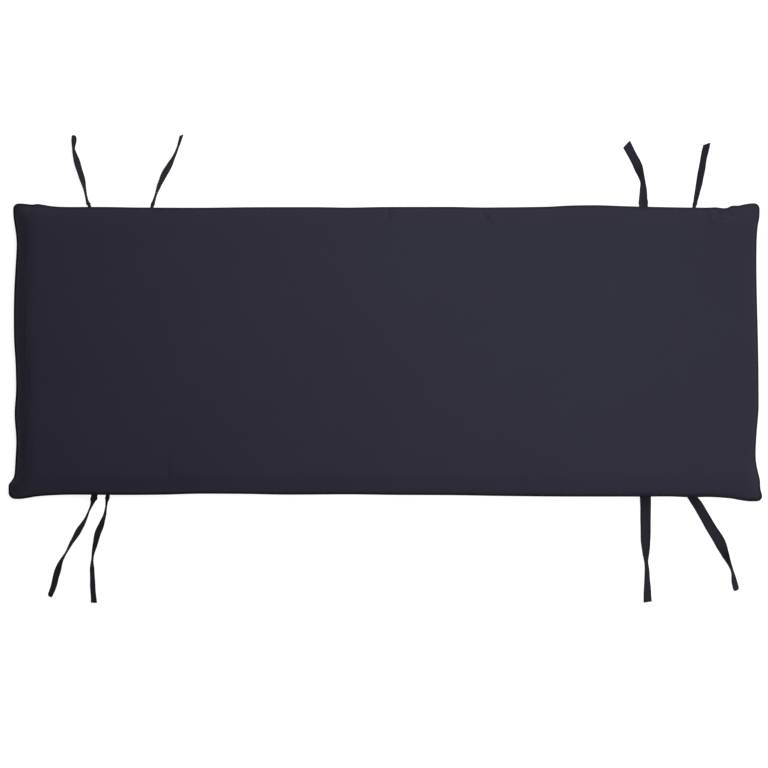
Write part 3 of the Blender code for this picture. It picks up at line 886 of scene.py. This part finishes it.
def tape_stitching(tape):
    """The lines of the stitches: along both edges of both faces, and across a folded end."""
    first, last = FIRST_STITCH, tape.run - LAST_STITCH
    count = round((last - first) / TAPE_STEP)
    lines = []

    def line(points):
        made = []
        for place, share, face in points:
            through = tape.directions(place)[2]
            made.append(tape.surface(place, share, face) + through * face * THREAD_LIFT)
        lines.append(made)

    for face in (1, -1):
        for share in (STITCH_ROW, -STITCH_ROW):
            line([(first + (last - first) * i / count, share, face) for i in range(count + 1)])
        if not tape.narrowing:
            across = tape.run - END_HEM + HEM_STITCHES
            line([(across, STITCH_ROW * share, face) for share in HEM_ACROSS])
    return lines


# ---- The padded cover


def panel_point(from_left, from_front, upper):
    """The point of a panel at these distances from the left and the front edge, and its inset."""
    inset_x = min(from_left, LENGTH - from_left)
    inset_y = min(from_front, WIDTH - from_front)
    near_x, near_y = rounded(inset_x, inset_y)
    x = math.copysign(LENGTH / 2 - near_x, from_left - LENGTH / 2)
    y = math.copysign(WIDTH / 2 - near_y, from_front - WIDTH / 2)
    seam = seam_height(x, y)
    inset = min(inset_x, inset_y)
    ridge = RIDGE_PROFILE(inset)
    if upper:
        rise = swell(inset_x, SHOULDER) * swell(inset_y, SHOULDER)
        crown = 1 - (2 * x / LENGTH) ** CROWN_POWERS[0]
        crown *= 1 - (2 * y / WIDTH) ** CROWN_POWERS[1]
        z = seam + ridge + (THICKNESS - seam - ridge) * rise + CROWN * rise * crown
        z -= RIDGE_SLOPE * max(0, 1 - inset / RIDGE_BACK)
    else:
        z = (seam - ridge) * (1 - swell(inset_x, TUCK) * swell(inset_y, TUCK))
    share_x, share_y = x / LENGTH + 0.5, y / WIDTH + 0.5
    out_x = RIGHT_OUT(y) * share_x - LEFT_OUT(y) * (1 - share_x)
    out_y = BACK_OUT(x) * share_y - FRONT_OUT(x) * (1 - share_y)
    return Vector((x + out_x, y + out_y, z)), inset


def ring(numbers, line):
    """The numbers round a grid along its line-th line in from the edge, anticlockwise."""
    inner = [row[line : len(row) - line] for row in numbers[line : len(numbers) - line]]
    front, right = [row[0] for row in inner[:-1]], [*inner[-1][:-1]]
    back, left = [row[-1] for row in inner[:0:-1]], [*inner[0][:0:-1]]
    return front + right + back + left


def cloth_lengths(points):
    """How far along the cloth each grid line lies, measured over the panel through its middle."""
    middle_i, middle_j = len(points) // 2, len(points[0]) // 2
    runs = []
    for line in ([column[middle_j] for column in points], points[middle_i]):
        run = [0.0]
        for a, b in zip(line, line[1:]):
            run.append(run[-1] + (b - a).length)
        runs.append(run)
    return runs


def painted_edge_shade(point, inset):
    """Painted light and shade near the cover's edges: painted shade at the rim, painted light in a
    band behind the ridge.

    Where the ridge faces the light, which comes from the right and the back, it has a painted
    highlight and painted shade in its groove; on the two other sides the whole ridge has painted
    shade.
    """
    at_left = 1 - eased_in(LENGTH / 2 + point.x, *FAR_SIDES)
    at_front = 1 - eased_in(WIDTH / 2 + point.y, *FAR_SIDES)
    far = max(at_left, at_front)
    on_ridge = 1 - eased_in(inset, RIDGE_ROUND, RIDGE_BACK)
    in_groove = fading(inset - RIDGE_REACH, GROOVE_SPREAD)
    # painted highlight on the ridge and painted shade in its groove, on the sides facing the light
    lit_edge = RIDGE_PAINTED_HIGHLIGHT * on_ridge - GROOVE_PAINTED_SHADE * in_groove
    # painted shade on the whole ridge on the sides away from the light
    far_edge = -FAR_RIDGE_PAINTED_SHADE * (1 - eased_in(inset, *FAR_RIDGE_END))
    # painted light in a band behind the ridge, more on the sides away from the light
    behind = eased_in(inset, *BEHIND_START) * (1 - eased_in(inset, *BEHIND_END))
    band = (BEHIND_PAINTED_LIGHT + FAR_BEHIND_PAINTED_LIGHT * far) * behind
    at_end = 1 - eased_in(LENGTH / 2 - abs(point.x), 0, EAR_RIM_REACH)
    at_side = 1 - eased_in(WIDTH / 2 - abs(point.y), 0, EAR_RIM_REACH)
    # painted shade along the rim, more at the ears
    rim = (RIM_PAINTED_SHADE + EAR_RIM_PAINTED_SHADE * at_end * at_side) * (1 - eased_in(inset, 0, RIM_REACH))
    return 1 + lit_edge * (1 - far) + far_edge * far + band - rim


def make_cover(material):
    """The upper and the lower panel on one grid, joined round the ridge.

    With it come each point's inset and whether it lies on the upper panel, and the numbers of the
    points round the groove above the ridge and below it.
    """
    columns, rows = grid_lines(LENGTH, creased_stretches()), grid_lines(WIDTH)
    corners, faces, flat, insets, upper_side = [], [], [], [], []
    rims, grooves = [], []
    for upper in (True, False):
        numbers, points = [], []
        for from_left in columns:
            numbers.append(range(len(corners), len(corners) + len(rows)))
            column, depths = zip(*(panel_point(from_left, place, upper) for place in rows))
            points.append(column)
            corners += column
            insets += depths
            upper_side += [upper] * len(rows)
        along, across = cloth_lengths(points)
        for i in range(len(columns) - 1):
            for j in range(len(rows) - 1):
                cell = [(i, j), (i + 1, j), (i + 1, j + 1), (i, j + 1)]
                cell = cell if upper else cell[::-1]
                faces.append([numbers[a][b] for a, b in cell])
                flat.append([(along[a], across[b]) for a, b in cell])
        rims.append(ring(numbers, 0))
        grooves.append(ring(numbers, GROOVE_LINE))
    over, under = rims
    place = 0.0
    for k in range(len(over)):
        after = (k + 1) % len(over)
        step = (corners[over[after]] - corners[over[k]]).length
        faces.append((under[k], under[after], over[after], over[k]))
        thick = 2 * RIDGE_TIP
        flat.append([(place, 0), (place + step, 0), (place + step, thick), (place, thick)])
        place += step
    cover = new_piece("padded_cover", corners, faces, material, flat)
    return cover, insets, upper_side, grooves


def settle(cover, insets, upper_side):
    """Simulates the cover over its filling. It is cut full near the seam, so it puckers there."""
    held = cover.vertex_groups.new(name="held")
    full = cover.vertex_groups.new(name="full")
    for i, inset in enumerate(insets):
        point = cover.data.vertices[i].co
        if inset <= EDGE_LINES[GROOVE_LINE] * MM + ROUNDING:
            firm = 1.0
        elif upper_side[i]:
            firm = HELD_BY_FILLING * eased_in(inset, NEAR_SEAM, EASE_REACH)
        else:
            close = 1 - eased_in(inset, NEAR_SEAM, LOWER_FREE)
            resting = eased_in(inset, TUCK * RESTING, TUCK + RIDGE_REACH)
            firm = max(close, resting, HELD_BY_FILLING)
        gathers = 1 - GATHERS + GATHERS * wavy(point.x, point.y, *GATHER_WAVE)
        held.add([i], firm, "REPLACE")
        full.add([i], gathers * (1 - eased_in(inset, RIDGE_REACH, EASE_REACH)), "REPLACE")

    cloth = cover.modifiers.new("settle", "CLOTH")
    for name, value in CLOTH_SETTINGS.items():
        setattr(cloth.settings, name, value)
    cloth.settings.effector_weights.gravity = 0
    cloth.collision_settings.use_collision = False
    cloth.point_cache.frame_start = 1
    cloth.point_cache.frame_end = SETTLE_FRAMES
    scene = bpy.context.scene
    for frame_number in range(1, SETTLE_FRAMES + 1):
        scene.frame_set(frame_number)
    shown = cover.evaluated_get(bpy.context.evaluated_depsgraph_get())
    settled = [vertex.co.copy() for vertex in shown.data.vertices]
    cover.modifiers.remove(cloth)
    scene.frame_set(1)
    cover.vertex_groups.clear()
    for vertex, there in zip(cover.data.vertices, settled):
        moved = there - vertex.co
        if moved.length:
            moved *= MOST_MOVED * math.tanh(moved.length / MOST_MOVED) / moved.length
        vertex.co = vertex.co + moved
        vertex.co.z = max(vertex.co.z, 0)
    cover.data.update()


def creased(point):
    """How far the creases press in the upper panel at a point, and its painted shade there."""
    depth, darkness = 0.0, 0.0
    for x, y, run, angle, wide, deep, dark in CREASES:
        turn = math.radians(angle)
        away_x, away_y = point.x - x * MM, point.y - y * MM
        along = (away_x * math.cos(turn) + away_y * math.sin(turn)) / (run * MM / 2)
        aside = (away_y * math.cos(turn) - away_x * math.sin(turn)) / (wide * MM / 2)
        if abs(along) < 1 and abs(aside) < CREASE_REACH:
            fade = (1 - along * along) ** 2 * fading(aside, 1)
            depth += deep * MM * fade
            darkness += dark * fade
    return depth, darkness


def add_creases(cover, insets, upper_side):
    """Presses the few creases into the upper panel and stores the painted light and shade of the
    cover's edges.
    """
    moves = []
    for vertex, inset, upper in zip(cover.data.vertices, insets, upper_side):
        depth = creased(vertex.co)[0] * eased_in(inset, RIDGE_REACH, NEAR_SEAM) if upper else 0
        moves.append(vertex.normal * -depth)
    for vertex, move in zip(cover.data.vertices, moves):
        vertex.co = vertex.co + move
    cover.data.update()
    points = cover.data.vertices
    # painted light and shade of the cover's edges
    store_painted_shade(cover, [painted_edge_shade(point.co, inset) for point, inset in zip(points, insets)])


def paint_crease_shades(cover):
    """Paints shade along the creases and light along raised ones, once the mesh can show them."""
    stored = cover.data.attributes[PAINTED_SHADE_NAME].data
    for vertex in cover.data.vertices:
        if vertex.normal.z > 0 and vertex.co.z > ABOVE_RIDGE:
            # painted shade along the creases, painted light along the raised ones
            stored[vertex.index].value *= 1 - creased(vertex.co)[1]


def refine(cover):
    """One round of subdivision. The points that were there keep their numbers."""
    finer = cover.modifiers.new("finer", "SUBSURF")
    finer.levels = 1
    finer.render_levels = 1
    baked(cover)


def seam_stitching(cover, grooves):
    """The seam's thread, in the groove above and below the ridge, as two rings of points."""
    lines = []
    for numbers in grooves:
        points = [cover.data.vertices[i] for i in numbers]
        line = [point.co + point.normal * THREAD_LIFT for point in points]
        lines.append(line + line[:1])
    return lines


# ---- The room


def make_floor():
    """A wide white floor."""
    half = FLOOR_SIZE / 2
    corners = [(x * half, y * half, -FLOOR_BELOW) for x, y in ((-1, -1), (1, -1), (1, 1), (-1, 1))]
    floor = new_piece("studio_floor", corners, [(0, 1, 2, 3)], floor_material())


def light_room():
    """Weak white light from all round, two softboxes overhead and two low ones."""
    scene = bpy.context.scene
    world = bpy.data.worlds.new("white_room")
    world.use_nodes = True
    background = world.node_tree.nodes["Background"].inputs
    background["Color"].default_value = WHITE
    background["Strength"].default_value = ROOM_LIGHT
    scene.world = world
    for name, place, aim, side, power in SOFTBOXES:
        data = bpy.data.lights.new(name, "AREA")
        data.shape = "SQUARE"
        data.size = side
        data.energy = power
        lamp = bpy.data.objects.new(name, data)
        lamp.location = place
        lamp.rotation_euler = (Vector(aim) - lamp.location).to_track_quat("-Z", "Y").to_euler()
        lamp.visible_camera = False
        scene.collection.objects.link(lamp)
    scene.view_settings.view_transform = "Standard"


# ---- Putting it together


def main():
    make_camera()
    tape_cloth = cloth_material("tape_cloth", TAPE_COLOUR, TAPE_STREAKS)
    cover_cloth = cloth_material("cover_cloth", COVER_COLOUR)
    thread = thread_material()
    stitches = stitch_tree()

    for phase, (node, rows) in enumerate(TIES.items()):
        tape = Tape(rows, node in ROUND_ENDED, END_CUT.get(node, 0), FOLD_PAINTED_SHADES[node], phase)
        piece = make_tape(node.replace("tie", "tape"), tape, tape_cloth)
        sewing = sew(piece.name + "_stitches", tape_stitching(tape), stitches, thread)
        for part in (piece, sewing):
            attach(part, BODY)
        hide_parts(node)
        count = round(tape.length / TAPE_STEP)
        path = [tape.centre(tape.length * i / count) for i in range(count + 1)]

    cover, insets, upper_side, grooves = make_cover(cover_cloth)
    settle(cover, insets, upper_side)
    add_creases(cover, insets, upper_side)
    refine(cover)
    paint_crease_shades(cover)
    seam = sew("seam_stitches", seam_stitching(cover, grooves), stitches, thread)
    for part in (cover, seam):
        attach(part, BODY)
    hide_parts("cushion")

    make_floor()
    light_room()


main()
